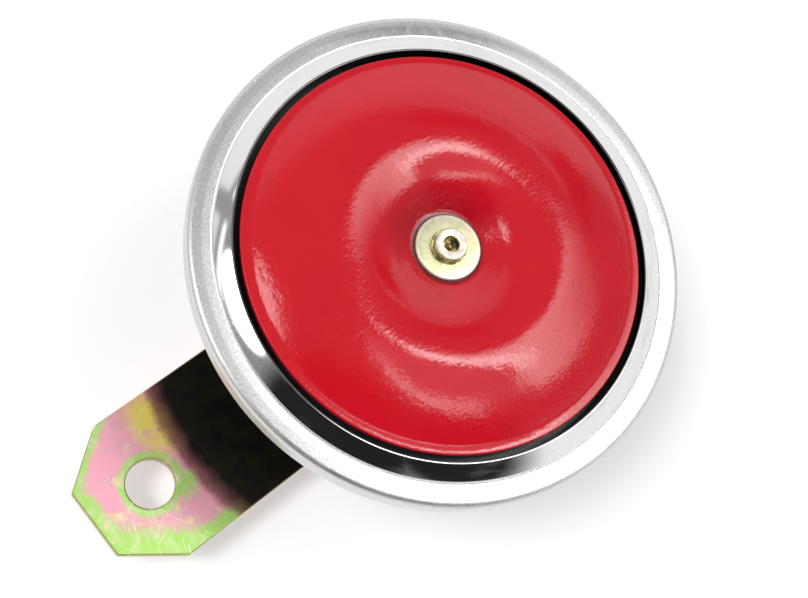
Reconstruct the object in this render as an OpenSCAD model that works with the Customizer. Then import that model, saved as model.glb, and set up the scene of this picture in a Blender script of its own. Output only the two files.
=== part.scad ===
// Electric disc horn, 12 V, on a flat mounting bracket.
// Row frame: origin at the centre of the bracket's mounting hole on its rear face,
// +Z along the horn axis out of the sounding face, +Y from the hole towards the horn axis.

/* [Bracket] */
// Distance from the mounting hole to the horn axis
hole_to_axis = 59.1; // [58:0.1:66]
// Width of the strip
strip_w = 30.5; // [26:0.5:34]
// Thickness of the strip
strip_t = 2.5; // [2:0.1:3]
// Distance from the mounting hole to the tip of the strip
tip_len = 12.8; // [12:0.1:16]
// Width of the edge left at the tip between the two chamfers
tip_w = 14.4; // [12:0.1:18]
// Length of each chamfer along the strip
chamfer_len = 10.6; // [8:0.1:12]
// Radius of the mounting hole
mount_hole_r = 4.75; // [4.2:0.05:5.2]

/* [Front] */
// Height of the rim's outer edge above the bracket's rear face
rim_z = 44.5; // [43:0.5:48]
// Outer radius of the rolled rim
rim_r = 46; // [45:0.5:48]
// Radius of the rim's inner lip
lip_r = 38.25; // [38:0.05:39]
// Height of the inner lip above the outer edge
lip_rise = 1.5; // [1:0.1:2]
// Outer radius of the tone disc
disc_r = 37.1; // [35:0.1:37.5]
// Thickness of the tone disc
disc_t = 1.2; // [0.8:0.1:1.4]
// Radius of the crest of the tone disc
crest_r = 20.8; // [18:0.1:22]
// Height of the crest above the disc's edge
crest_rise = 3.4; // [2:0.1:4]

/* [Magnet] */
// Inner radius of the coil pot
pot_r = 20; // [19:0.1:20.3]
// Radius of the pole core
core_r = 9; // [8:0.5:9]
// Air gap between core and armature
air_gap = 1.1; // [1:0.1:1.5]
// Radius of the armature
armature_r = 8.8; // [7.8:0.1:8.8]

/* [Fastening] */
// Radius of the rear stud
stud_r = 4; // [3.8:0.1:4]
// Width of the nut across its flats
nut_flats = 13; // [12:0.5:14]
// Height of the nut
nut_h = 6.5; // [5:0.5:7]

/* [Hidden] */
$fn = 96;

// Clearances: turning or sliding on a shaft, resting face against a moving face
run_gap = 0.05;
face_gap = 0.1;

// Clamped stack under the rim, from the rear hem to the front land
hem_t = 0.8;
sheet_t = 1.2;
gasket_t = 0.5;
diaphragm_t = 0.4;
ring_t = 0.9;
land_z = rim_z - 1.5;
diaphragm_front_z = land_z - gasket_t;
diaphragm_rear_z = diaphragm_front_z - diaphragm_t;
flange_front_z = diaphragm_rear_z - gasket_t;
flange_rear_z = flange_front_z - sheet_t;
hem_z = flange_rear_z - hem_t;
stack_r = rim_r - ring_t;
clamp_r = 40.6;

// Tone disc and its seat
disc_edge_z = rim_z + lip_rise;
seat_r = 6.8;
seat_z = rim_z + 0.9;
inner_turn_r = 10.6;
disc_foot_r = disc_r - 1.5;
crest_z = disc_edge_z + crest_rise;
rod_r = 2.95;
rod_bore_r = 1.5;
rod_top_z = seat_z + 2.6;
washer_r = 6.1;
washer_t = 0.8;

// Housing: bowl behind the diaphragm, pot round the coil
pot_rear_z = strip_t + face_gap;
bowl_rear_z = 25;
bowl_floor_z = bowl_rear_z + sheet_t;
bowl_floor_r = 35;
bowl_mouth_r = 39.8;
pot_floor_z = pot_rear_z + sheet_t;

// Magnet
core_top_z = 27.5;
armature_z = core_top_z + air_gap;
armature_top_z = diaphragm_rear_z - run_gap;
pot_corner_r = 1.8;
bobbin_top_z = 25.8;
bobbin_wall = 1;
bobbin_r = pot_r - pot_corner_r;

// Contact breaker, on the +X side of the horn axis
blade_w = 9;
blade_t = 0.4;
moving_blade_z = 31;
fixed_blade_z = 33.4;
pivot_u = 28.5;
pusher_u = 12;
tip_u = 18;
tip_r = 2;
tip_gap = 0.06;
fixed_end_u = 15.5;
stack_end_u = 33.4;
blade_end_u = 30;
blade_play = 0.12;
insulator_t = 1;
clamp_plate_t = 1.2;
nose_r = 1;
rivet_u = 31.6;
rivet_y = 2.6;
rivet_r = 1;
rivet_head_r = 1.8;
rivet_head_h = 0.7;

// Adjusting screw
screw_u = 25.2;
screw_w = 2;
screw_head_r = 3.6;
screw_head_z = 18;
screw_head_h = 2.4;
bushing_r = 3.6;
bushing_throat_r = screw_w + 0.7;
bushing_z = 21.4;

// Terminals, on the +Y side of the horn axis
term_y = 28.5;
term_x = 5.6;
term_w = 6.3;
term_t = 0.8;
term_len = 14;
term_base_x = 21;
term_base_y = 10;
term_inner_x = 19;
term_inner_y = 7;
term_throat_x = 16;
term_throat_y = 6.4;
term_rear_z = 21.5;
term_front_z = bowl_floor_z + 2;
term_blade_y = 2.9;
term_rivet_r = 1.4;
term_head_r = 2;
term_head_h = 1;

// Resistor, between breaker and terminals
res_a = 42;
res_u = 29.2;
res_r = 2.6;
res_len = 13;
res_z = bowl_floor_z + res_r + 0.6;
wire_r = 0.4;

// Rear fasteners
flat_washer_r = 8;
flat_washer_t = 1.6;
lock_washer_r = 7.2;
lock_washer_t = 2;
washer_bore_r = stud_r + 0.2;
flat_washer_z = -face_gap - flat_washer_t;
lock_washer_z = flat_washer_z - lock_washer_t;
nut_z = lock_washer_z - nut_h;
stud_end_z = nut_z - 2.6;

// Moves a piece drawn round the horn axis to its place
module on_axis() {
    translate([0, hole_to_axis, 0]) children();
}

// A straight tube or disc along Z
module tube(r_out, r_in, z0, z1) {
    translate([0, 0, z0]) difference() {
        cylinder(r = r_out, h = z1 - z0);
        translate([0, 0, -1]) cylinder(r = r_in, h = z1 - z0 + 2);
    }
}

// A solid rod along Z
module rod(r, z0, z1) {
    translate([0, 0, z0]) cylinder(r = r, h = z1 - z0);
}

// A box given by its centre in X and Y and its two heights
module slab(size_x, size_y, z0, z1) {
    translate([-size_x / 2, -size_y / 2, z0]) cube([size_x, size_y, z1 - z0]);
}

// A straight wire between two points
module wire(from, to, r) {
    d = to - from;
    len = norm(d);
    translate(from)
        rotate([0, acos(d[2] / len), atan2(d[1], d[0])])
            cylinder(r = r, h = len, $fn = 24);
}

// Points of an arc
function arc(x, y, r, a0, a1, n) =
    [for (i = [0:n]) [x + r * cos(a0 + (a1 - a0) * i / n), y + r * sin(a0 + (a1 - a0) * i / n)]];

// Steepest slope of the tone disc between its seat and its crest
disc_slope = (crest_z - seat_z)
    / ((crest_r - inner_turn_r) / 2 + (inner_turn_r - seat_r) * 0.87);

// Front face of the crest's inner side: level at the crest, steepest at the turn
function crest_side_z(r) =
    crest_z - disc_slope * pow(crest_r - r, 2) / (2 * (crest_r - inner_turn_r));

// Height of the tone disc's front face at radius r
function disc_z(r) =
    r < seat_r ? seat_z
    : r < inner_turn_r ? seat_z
        + (crest_side_z(inner_turn_r) - seat_z) * (r - seat_r) / (inner_turn_r - seat_r)
    : r < crest_r ? crest_side_z(r)
    : r < disc_foot_r
        ? crest_z - crest_rise * pow((r - crest_r) / (disc_foot_r - crest_r), 1.6)
    : disc_edge_z;

module bracket() {
    body_l = hole_to_axis + tip_len;
    color("darkkhaki") difference() {
        linear_extrude(strip_t) difference() {
            union() {
                translate([-strip_w / 2, chamfer_len - tip_len])
                    square([strip_w, body_l - chamfer_len]);
                polygon([
                    [-tip_w / 2, -tip_len], [tip_w / 2, -tip_len],
                    [strip_w / 2, chamfer_len - tip_len], [-strip_w / 2, chamfer_len - tip_len]
                ]);
                translate([0, hole_to_axis]) circle(r = strip_w / 2);
            }
            circle(r = mount_hole_r);
            translate([0, hole_to_axis]) circle(r = stud_r + run_gap);
        }
    }
}

module rim_ring() {
    color("silver") on_axis() rotate_extrude() polygon(concat(
        [[lip_r, rim_z - 0.1]],
        arc(lip_r + 0.5, rim_z + lip_rise - 0.5, 0.5, 180, 66, 5),
        [
            [41.5, rim_z + 0.33], [41.66, rim_z + 0.14], [41.95, rim_z + 0.2],
            [43.5, rim_z + 0.17]
        ],
        arc(rim_r - 1, rim_z - 0.95, 1, 82, 0, 6),
        arc(rim_r - 0.7, hem_z + 0.7, 0.7, 0, -90, 5),
        [
            [42.8, hem_z], [42.8, flange_rear_z], [stack_r, flange_rear_z],
            [stack_r, land_z], [41, land_z], [41, rim_z - 0.35],
            [lip_r + 1.35, rim_z + 0.3], [lip_r + 0.8, rim_z + 0.4], [lip_r + 0.8, rim_z - 0.1]
        ]
    ));
}

module front_gasket() {
    color("dimgray") on_axis() tube(stack_r, clamp_r, diaphragm_front_z, land_z);
}

module diaphragm() {
    color("darkslategray") on_axis()
        tube(stack_r, rod_r + run_gap, diaphragm_rear_z, diaphragm_front_z);
}

module rear_gasket() {
    color("dimgray") on_axis() tube(stack_r, clamp_r, flange_front_z, diaphragm_rear_z);
}

module housing() {
    pot_out_r = pot_r + sheet_t;
    color("black") on_axis() difference() {
        rotate_extrude() polygon(concat(
            [
                [stud_r, pot_rear_z], [pot_out_r - 3, pot_rear_z]
            ],
            arc(pot_out_r - 3, pot_rear_z + 3, 3, -75, 0, 5),
            [
                [pot_out_r, bowl_rear_z], [bowl_floor_r, bowl_rear_z],
                [bowl_floor_r + 1.6, bowl_rear_z + 1.2],
                [bowl_mouth_r + sheet_t, flange_rear_z], [stack_r, flange_rear_z],
                [stack_r, flange_front_z], [bowl_mouth_r, flange_front_z],
                [bowl_floor_r + 0.4, bowl_floor_z + 1], [bowl_floor_r - 0.8, bowl_floor_z],
                [pot_r, bowl_floor_z]
            ],
            arc(pot_r - pot_corner_r, pot_floor_z + pot_corner_r, pot_corner_r, 0, -90, 5),
            [[stud_r, pot_floor_z]]
        ));
        translate([screw_u, 0, bowl_rear_z - 1]) cylinder(r = bushing_throat_r, h = 4);
        translate([0, term_y, 0])
            slab(term_throat_x, term_throat_y, bowl_rear_z - 1, bowl_floor_z + 1);
        breaker_holes();
    }
}

module tone_disc() {
    steps = 9;
    inner = [for (i = [0:steps]) inner_turn_r + (crest_r - inner_turn_r) * i / steps];
    outer = [for (i = [1:steps]) crest_r + (disc_foot_r - crest_r) * i / steps];
    radii = concat([rod_r, seat_r], inner, outer, [disc_r]);
    front = [for (r = radii) [r, disc_z(r)]];
    rear = [for (i = [len(radii) - 1:-1:0]) [radii[i], disc_z(radii[i]) - disc_t]];
    color("crimson") on_axis() rotate_extrude() polygon(concat(front, rear));
}

module front_washer() {
    color("khaki") on_axis() tube(washer_r, rod_r, seat_z, seat_z + washer_t);
}

module centre_rod() {
    color("silver") on_axis() difference() {
        rod(rod_r, armature_top_z - 6, rod_top_z);
        rod(rod_bore_r, rod_top_z - 4, rod_top_z + 1);
    }
}

module disc_spacer() {
    color("gray") on_axis() tube(5.5, rod_r, diaphragm_front_z + run_gap, seat_z - disc_t);
}

module armature() {
    color("gray") on_axis() difference() {
        rod(armature_r, armature_z, armature_top_z);
        rod(rod_r, armature_top_z - 6, armature_top_z + 1);
    }
}

module breaker_pusher() {
    blade_top = moving_blade_z + blade_t;
    nose_z = blade_top + tip_gap + nose_r;
    color("saddlebrown") on_axis() {
        difference() {
            union() {
                rod(armature_r + 1.8, nose_z, nose_z + 2);
                translate([pusher_u - 1, 0, 0]) slab(2 * nose_r + 2, 6, nose_z, nose_z + 2);
                translate([pusher_u, 3, nose_z]) rotate([90, 0, 0]) cylinder(r = nose_r, h = 6);
            }
            rod(armature_r, nose_z - 2, nose_z + 3);
        }
    }
}

module pole_core() {
    color("dimgray") on_axis() {
        rod(core_r, pot_floor_z, core_top_z);
        rod(stud_r, stud_end_z, pot_floor_z);
    }
}

module coil_bobbin() {
    color("ivory") on_axis() {
        tube(core_r + bobbin_wall, core_r, pot_floor_z, bobbin_top_z);
        tube(bobbin_r, core_r, pot_floor_z, pot_floor_z + bobbin_wall);
        tube(bobbin_r, core_r, bobbin_top_z - bobbin_wall, bobbin_top_z);
    }
}

module coil_winding() {
    color("chocolate") on_axis() tube(
        bobbin_r - 0.8, core_r + bobbin_wall,
        pot_floor_z + bobbin_wall, bobbin_top_z - bobbin_wall
    );
}

// Two short leads: up from the coil, then across to the rivets of the two terminals
module coil_leads() {
    lead_z = term_front_z + term_head_h + wire_r - 0.1;
    color("orangered") on_axis() for (s = [-1, 1]) {
        corner = [s * term_x, 15, lead_z];
        wire([s * term_x, 15, bobbin_top_z], corner, wire_r);
        wire(corner, [s * term_x, term_y, lead_z], wire_r);
        translate(corner) sphere(r = wire_r + 0.1, $fn = 24);
    }
}

module breaker_base() {
    base_l = stack_end_u - pivot_u;
    color("gray") on_axis() difference() {
        translate([pivot_u + base_l / 2, 0, 0])
            slab(base_l, blade_w, bowl_floor_z, moving_blade_z - insulator_t);
        breaker_holes();
    }
}

// Clearance for the rivets that hold the breaker's stack
module breaker_holes() {
    for (s = [-1, 1])
        translate([rivet_u, s * rivet_y, bowl_rear_z - 5]) cylinder(r = rivet_r, h = 20);
}

module blade_insulators() {
    base_l = stack_end_u - pivot_u;
    fixed_top = fixed_blade_z + blade_t;
    color("sienna") on_axis() difference() {
        translate([pivot_u + base_l / 2, 0, 0]) {
            slab(base_l, blade_w, moving_blade_z - insulator_t, fixed_blade_z);
            slab(base_l, blade_w, fixed_top, fixed_top + clamp_plate_t);
        }
        translate([blade_end_u - 2, 0, 0]) slab(
            4 + 2 * blade_play, blade_w + 1,
            moving_blade_z - blade_play, moving_blade_z + blade_t + blade_play
        );
        breaker_holes();
    }
}

module fixed_contact_blade() {
    blade_l = stack_end_u - fixed_end_u;
    color("goldenrod") on_axis() difference() {
        translate([fixed_end_u + blade_l / 2, 0, 0])
            slab(blade_l, blade_w, fixed_blade_z, fixed_blade_z + blade_t);
        breaker_holes();
    }
}

module fixed_contact_tip() {
    z0 = contact_mid_z() + tip_gap / 2;
    color("lightgray") on_axis() translate([tip_u, 0, 0]) rod(tip_r, z0, fixed_blade_z);
}

// Height where the two contact tips meet
function contact_mid_z() = (moving_blade_z + blade_t + fixed_blade_z) / 2;

module moving_contact_blade() {
    inner_u = pusher_u - 1.4;
    blade_l = blade_end_u - inner_u;
    color("goldenrod") on_axis() difference() {
        translate([inner_u + blade_l / 2, 0, 0])
            slab(blade_l, blade_w, moving_blade_z, moving_blade_z + blade_t);
        translate([screw_u, 0, moving_blade_z - 1]) cylinder(r = screw_w + 0.8, h = 3);
    }
}

module moving_contact_tip() {
    z1 = contact_mid_z() - tip_gap / 2;
    color("lightgray") on_axis() translate([tip_u, 0, 0])
        rod(tip_r, moving_blade_z + blade_t, z1);
}

module breaker_rivets() {
    top = fixed_blade_z + blade_t + clamp_plate_t;
    color("silver") on_axis() for (s = [-1, 1]) translate([rivet_u, s * rivet_y, 0]) {
        rod(rivet_r, bowl_rear_z, top);
        rod(rivet_head_r, top, top + rivet_head_h);
        rod(rivet_head_r, bowl_rear_z - rivet_head_h, bowl_rear_z);
    }
}

module adjuster_bushing() {
    color("goldenrod") on_axis() translate([screw_u, 0, 0]) difference() {
        union() {
            rod(bushing_r, bushing_z, bowl_rear_z);
            rod(bushing_throat_r, bowl_rear_z, bowl_floor_z + 1);
        }
        rod(screw_w + run_gap, bushing_z - 1, bowl_floor_z + 2);
    }
}

module adjusting_screw() {
    head_top = screw_head_z + screw_head_h;
    color("silver") on_axis() translate([screw_u, 0, 0]) difference() {
        union() {
            rod(screw_w, head_top, fixed_blade_z - face_gap);
            rod(screw_head_r, screw_head_z, head_top);
        }
        slab(0.9, 2 * screw_head_r + 1, screw_head_z - 1, screw_head_z + 1.2);
    }
}

module terminal_base() {
    color("black") on_axis() translate([0, term_y, 0]) difference() {
        union() {
            slab(term_base_x, term_base_y, term_rear_z, bowl_rear_z);
            slab(term_throat_x, term_throat_y, bowl_rear_z, bowl_floor_z);
            slab(term_inner_x, term_inner_y, bowl_floor_z, term_front_z);
        }
        for (s = [-1, 1]) translate([s * term_x, 0, term_rear_z - 1])
            cylinder(r = term_rivet_r, h = 10);
    }
}

// One bent blade: a foot under the base and a blade pointing to the rear
module terminal(side) {
    hole_z = term_rear_z - term_t;
    on_axis() translate([side * term_x, term_y, 0]) difference() {
        union() {
            translate([0, (term_blade_y - 2.4) / 2, 0])
                slab(term_w, term_blade_y + 2.4, hole_z, term_rear_z);
            translate([0, term_blade_y - term_t / 2, 0])
                slab(term_w, term_t, hole_z - term_len, hole_z);
        }
        translate([0, 0, hole_z - 1]) cylinder(r = term_rivet_r, h = 3);
        translate([0, 6, hole_z - term_len + 4]) rotate([90, 0, 0]) cylinder(r = 0.9, h = 10);
    }
}

module terminal_a() {
    color("gold") terminal(-1);
}

module terminal_b() {
    color("gold") terminal(1);
}

module terminal_rivets() {
    head = term_rear_z - term_t;
    color("silver") on_axis() for (s = [-1, 1]) translate([s * term_x, term_y, 0]) {
        rod(term_rivet_r, head, term_front_z);
        rod(term_head_r, head - term_head_h, head);
        rod(term_head_r, term_front_z, term_front_z + term_head_h);
    }
}

// A point on the resistor's own axis, at a signed distance from its middle
function res_point(along) = [
    res_u * cos(res_a) - along * sin(res_a), res_u * sin(res_a) + along * cos(res_a), res_z
];

module resistor() {
    color("tan") on_axis() wire(res_point(-res_len / 2), res_point(res_len / 2), res_r);
}

// One lead to a terminal's rivet, the other to the base of the contact breaker
module resistor_leads() {
    color("silver") on_axis() {
        wire(res_point(res_len / 2), [term_x + term_head_r, term_y, term_front_z + 0.5], wire_r);
        wire(res_point(-res_len / 2), [rivet_u, blade_w / 2, bowl_floor_z + 2.2], wire_r);
    }
}

module flat_washer() {
    color("silver") on_axis() tube(flat_washer_r, washer_bore_r, flat_washer_z, -face_gap);
}

module lock_washer() {
    color("silver") on_axis() difference() {
        tube(lock_washer_r, washer_bore_r, lock_washer_z, flat_washer_z);
        translate([lock_washer_r, 0, 0])
            slab(2 * lock_washer_r, 0.8, lock_washer_z - 1, flat_washer_z + 1);
    }
}

module bracket_nut() {
    color("silver") on_axis() translate([0, 0, nut_z]) difference() {
        cylinder(d = nut_flats / cos(30), h = nut_h, $fn = 6);
        translate([0, 0, -1]) cylinder(r = stud_r + run_gap, h = nut_h + 2);
    }
}

bracket();
rim_ring();
front_gasket();
diaphragm();
rear_gasket();
housing();
tone_disc();
front_washer();
centre_rod();
disc_spacer();
armature();
breaker_pusher();
pole_core();
coil_bobbin();
coil_winding();
coil_leads();
breaker_base();
blade_insulators();
fixed_contact_blade();
fixed_contact_tip();
moving_contact_blade();
moving_contact_tip();
breaker_rivets();
adjuster_bushing();
adjusting_screw();
terminal_base();
terminal_a();
terminal_b();
terminal_rivets();
resistor();
resistor_leads();
flat_washer();
lock_washer();
bracket_nut();
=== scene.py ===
"""Electric disc horn on a flat bracket: the looks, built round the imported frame."""

import math

import bmesh
import bpy
from mathutils import Matrix, Vector, noise


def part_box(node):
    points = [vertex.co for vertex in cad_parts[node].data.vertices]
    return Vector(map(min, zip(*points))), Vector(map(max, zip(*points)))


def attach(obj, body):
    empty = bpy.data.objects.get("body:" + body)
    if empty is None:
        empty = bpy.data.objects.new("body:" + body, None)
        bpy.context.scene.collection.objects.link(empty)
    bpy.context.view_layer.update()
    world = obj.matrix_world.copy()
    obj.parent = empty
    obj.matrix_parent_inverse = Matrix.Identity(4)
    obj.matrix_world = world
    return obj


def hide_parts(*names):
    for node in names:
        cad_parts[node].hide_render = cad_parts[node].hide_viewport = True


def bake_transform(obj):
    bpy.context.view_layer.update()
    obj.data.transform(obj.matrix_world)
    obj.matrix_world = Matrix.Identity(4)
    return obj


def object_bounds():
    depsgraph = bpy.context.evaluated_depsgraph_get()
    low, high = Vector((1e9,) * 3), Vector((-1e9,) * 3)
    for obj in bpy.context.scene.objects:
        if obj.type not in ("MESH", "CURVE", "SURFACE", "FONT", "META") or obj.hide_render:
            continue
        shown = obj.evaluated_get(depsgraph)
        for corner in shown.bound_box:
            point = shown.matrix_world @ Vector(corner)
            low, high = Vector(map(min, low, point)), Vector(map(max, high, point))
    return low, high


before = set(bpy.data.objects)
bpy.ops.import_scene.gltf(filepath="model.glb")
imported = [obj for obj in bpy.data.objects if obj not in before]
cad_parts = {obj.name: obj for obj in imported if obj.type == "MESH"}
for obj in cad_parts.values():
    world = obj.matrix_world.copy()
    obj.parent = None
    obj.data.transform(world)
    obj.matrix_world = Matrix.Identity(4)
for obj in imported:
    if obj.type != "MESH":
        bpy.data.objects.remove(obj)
CAD_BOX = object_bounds()
MM = 0.001

# ---------------------------------------------------------------- places, from the frame

rim_lo, rim_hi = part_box("rim_ring")
AXIS_X = (rim_lo.x + rim_hi.x) / 2
AXIS_Y = (rim_lo.y + rim_hi.y) / 2
RIM_R = (rim_hi.x - rim_lo.x) / 2 / MM
LIP_RISE = 1.5
RIM_Z = rim_hi.z / MM - LIP_RISE

HORN_Y = AXIS_Y / MM
STRIP_W = 2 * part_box("bracket")[1].x / MM
STRIP_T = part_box("bracket")[1].z / MM
TIP_LEN = -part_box("bracket")[0].y / MM
TIP_W = 14.4
CHAMFER = 10.6
HOLE_R = 4.75
STUD_R = 4.0


def low(node):
    """The lowest height of a node, in mm."""
    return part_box(node)[0].z / MM


def high(node):
    """The greatest height of a node, in mm."""
    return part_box(node)[1].z / MM


def radius(node):
    """Half the width of a round node, in mm."""
    lo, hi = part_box(node)
    return (hi.x - lo.x) / 2 / MM


# ---------------------------------------------------------------- mesh helpers


def finish_mesh(obj, sharp=35):
    """Smooth shading with sharp edges above an angle in degrees."""
    for face in obj.data.polygons:
        face.use_smooth = True
    obj.data.set_sharp_from_angle(angle=math.radians(sharp))
    return obj


def new_object(name, verts, faces, sharp=35):
    """A mesh object from points in mm, its doubles merged and its normals outward."""
    mesh = bpy.data.meshes.new(name)
    mesh.from_pydata([Vector(v) * MM for v in verts], [], faces)
    work = bmesh.new()
    work.from_mesh(mesh)
    bmesh.ops.remove_doubles(work, verts=work.verts, dist=1e-7)
    bmesh.ops.recalc_face_normals(work, faces=work.faces)
    work.to_mesh(mesh)
    work.free()
    obj = bpy.data.objects.new(name, mesh)
    bpy.context.scene.collection.objects.link(obj)
    return finish_mesh(obj, sharp)


def rounded(points, closed=True):
    """Corners (x, y, radius) become arcs; radius 0 or none leaves the corner."""
    out = []
    count = len(points)
    for i, point in enumerate(points):
        here = Vector(point[:2])
        fillet = point[2] if len(point) > 2 else 0
        at_end = not closed and i in (0, count - 1)
        if not fillet or at_end:
            out.append((here.x, here.y))
            continue
        a = Vector(points[i - 1][:2]) - here
        b = Vector(points[(i + 1) % count][:2]) - here
        half = a.angle(b) / 2
        reach = min(fillet / math.tan(half), a.length * 0.49, b.length * 0.49)
        r = reach * math.tan(half)
        start = here + a.normalized() * reach
        end = here + b.normalized() * reach
        centre = here + (a.normalized() + b.normalized()).normalized() * (r / math.sin(half))
        steps = max(3, int((math.pi - 2 * half) / math.radians(11)))
        v0, v1 = start - centre, end - centre
        turn = v0.angle_signed(v1)
        for k in range(steps + 1):
            t = -turn * k / steps
            c, s = math.cos(t), math.sin(t)
            out.append((centre.x + c * v0.x - s * v0.y, centre.y + s * v0.x + c * v0.y))
    return out


def lathe(name, profile, segments=256, at=(0, 0), wobble=None, sharp=35, closed=True):
    """Turns (radius, height) points round the horn axis, or round a point beside it."""
    verts, faces = [], []
    count = len(profile)
    for i in range(segments):
        a = 2 * math.pi * i / segments
        for j, (r, z) in enumerate(profile):
            dr, dz = wobble(a, r, z) if wobble else (0, 0)
            x = AXIS_X / MM + at[0] + (r + dr) * math.cos(a)
            y = AXIS_Y / MM + at[1] + (r + dr) * math.sin(a)
            verts.append((x, y, z + dz))
    for i in range(segments):
        n = (i + 1) % segments
        for j in range(count if closed else count - 1):
            k = (j + 1) % count
            faces.append((i * count + j, n * count + j, n * count + k, i * count + k))
    return new_object(name, verts, faces, sharp)


def softened(node, width, segments=2, sharp=35):
    """A finer copy of a CAD node: flat faces made whole, its edges rounded over."""
    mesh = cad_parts[node].data.copy()
    mesh.name = node + "_fine"
    obj = bpy.data.objects.new(node + "_fine", mesh)
    bpy.context.scene.collection.objects.link(obj)
    work = bmesh.new()
    work.from_mesh(mesh)
    bmesh.ops.remove_doubles(work, verts=work.verts, dist=2e-6)
    bmesh.ops.dissolve_limit(
        work, angle_limit=math.radians(1), verts=work.verts, edges=work.edges
    )
    edges = [
        e for e in work.edges
        if len(e.link_faces) == 2 and e.calc_face_angle(0) > math.radians(sharp)
    ]
    bmesh.ops.bevel(
        work, geom=edges, offset=width * MM, offset_type="OFFSET", segments=segments,
        profile=0.5, affect="EDGES", clamp_overlap=True,
    )
    bmesh.ops.triangulate(work, faces=[f for f in work.faces if len(f.verts) > 4])
    work.to_mesh(mesh)
    work.free()
    mesh.materials.clear()
    return finish_mesh(obj, 30)


def place(obj, body, slot, material, *nodes):
    """Gives a piece its body and material and hides the CAD nodes it stands for; slot is not used.
    """
    obj.data.materials.clear()
    obj.data.materials.append(material)
    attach(obj, body)
    if nodes:
        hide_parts(*nodes)
    return obj


# ---------------------------------------------------------------- node helpers


class Shade:
    """Builds one material; coordinates are the piece's own, in mm."""

    def __init__(self, name, **constants):
        self.material = bpy.data.materials.new(name)
        self.material.use_nodes = True
        self.tree = self.material.node_tree
        self.bsdf = self.tree.nodes["Principled BSDF"]
        for key, value in constants.items():
            self.bsdf.inputs[key.replace("_", " ")].default_value = value
        self.start()

    def start(self):
        coords = self.node("ShaderNodeTexCoord")
        self.p = self.vector("SCALE", coords.outputs["Object"], scale=1 / MM)
        axis = (AXIS_X / MM, AXIS_Y / MM, 0)
        self.centred = self.vector("SUBTRACT", self.p, axis)
        split = self.node("ShaderNodeSeparateXYZ", (self.centred,))
        self.x, self.y, self.z = split.outputs
        flat = self.vector("MULTIPLY", self.centred, (1, 1, 0))
        self.r = self.vector("LENGTH", flat)
        self.angle = self.math("ARCTAN2", self.y, self.x)

    def node(self, kind, inputs=(), **props):
        made = self.tree.nodes.new(kind)
        for key, value in props.items():
            setattr(made, key, value)
        for i, value in enumerate(inputs):
            self.feed(made.inputs[i], value)
        return made

    def feed(self, socket, value):
        if isinstance(value, bpy.types.NodeSocket):
            self.tree.links.new(value, socket)
        elif value is not None:
            if hasattr(socket.default_value, "__len__") and len(socket.default_value) == 4:
                value = tuple(value)[:3] + (1,)
            socket.default_value = value

    def vector(self, op, a, b=None, scale=None):
        made = self.node("ShaderNodeVectorMath", (a, b), operation=op)
        if scale is not None:
            self.feed(made.inputs["Scale"], scale)
        return made.outputs["Value" if op in ("LENGTH", "DOT_PRODUCT") else "Vector"]

    def math(self, op, a, b=None, clamp=False):
        return self.node("ShaderNodeMath", (a, b), operation=op, use_clamp=clamp).outputs[0]

    def fade(self, value, lo, hi):
        """0 below lo and 1 above hi, or the other way round when lo is above hi."""
        made = self.node("ShaderNodeMapRange", interpolation_type="SMOOTHSTEP", clamp=True)
        flip = lo > hi
        for key, number in (("From Min", min(lo, hi)), ("From Max", max(lo, hi))):
            made.inputs[key].default_value = number
        made.inputs["To Min"].default_value = 1 if flip else 0
        made.inputs["To Max"].default_value = 0 if flip else 1
        self.feed(made.inputs["Value"], value)
        return made.outputs["Result"]

    def noise(self, per_mm, detail=3, rough=0.5, stretch=None, at=None):
        where = at or self.p
        if stretch:
            where = self.vector("MULTIPLY", where, stretch)
        made = self.node("ShaderNodeTexNoise")
        self.feed(made.inputs["Vector"], where)
        made.inputs["Scale"].default_value = per_mm
        made.inputs["Detail"].default_value = detail
        made.inputs["Roughness"].default_value = rough
        return made.outputs["Fac"]

    def around(self, along, across):
        """Coordinates that run round the horn axis: arc, radius and height, each scaled."""
        arc = self.math("MULTIPLY", self.angle, along)
        rad = self.math("MULTIPLY", self.r, across)
        up = self.math("MULTIPLY", self.z, across)
        return self.node("ShaderNodeCombineXYZ", (arc, rad, up)).outputs[0]

    def mix(self, factor, a, b):
        made = self.node("ShaderNodeMix", data_type="RGBA")
        self.feed(made.inputs["Factor"], factor)
        self.feed(made.inputs["A"], a)
        self.feed(made.inputs["B"], b)
        return made.outputs["Result"]

    def blend(self, factor, a, b):
        made = self.node("ShaderNodeMix", data_type="FLOAT")
        self.feed(made.inputs["Factor"], factor)
        self.feed(made.inputs["A"], a)
        self.feed(made.inputs["B"], b)
        return made.outputs["Result"]

    def ramp(self, factor, stops):
        made = self.node("ShaderNodeValToRGB")
        self.feed(made.inputs["Fac"], factor)
        bar = made.color_ramp.elements
        while len(bar) < len(stops):
            bar.new(0.5)
        for element, (at, colour) in zip(bar, stops):
            element.position = at
            element.color = tuple(colour) + (1,)
        return made.outputs["Color"]

    def set(self, colour=None, rough=None, metal=None, bump=()):
        """Feeds the shader; bump holds (height, millimetres) pairs, added in turn."""
        self.feed(self.bsdf.inputs["Base Color"], colour)
        self.feed(self.bsdf.inputs["Roughness"], rough)
        self.feed(self.bsdf.inputs["Metallic"], metal)
        last = None
        for height, depth in bump:
            made = self.node("ShaderNodeBump")
            made.inputs["Strength"].default_value = 1
            made.inputs["Distance"].default_value = depth * MM
            self.feed(made.inputs["Height"], height)
            if last:
                self.tree.links.new(last, made.inputs["Normal"])
            last = made.outputs["Normal"]
        if last:
            self.tree.links.new(last, self.bsdf.inputs["Normal"])
        return self.material


# ---------------------------------------------------------------- materials


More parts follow.
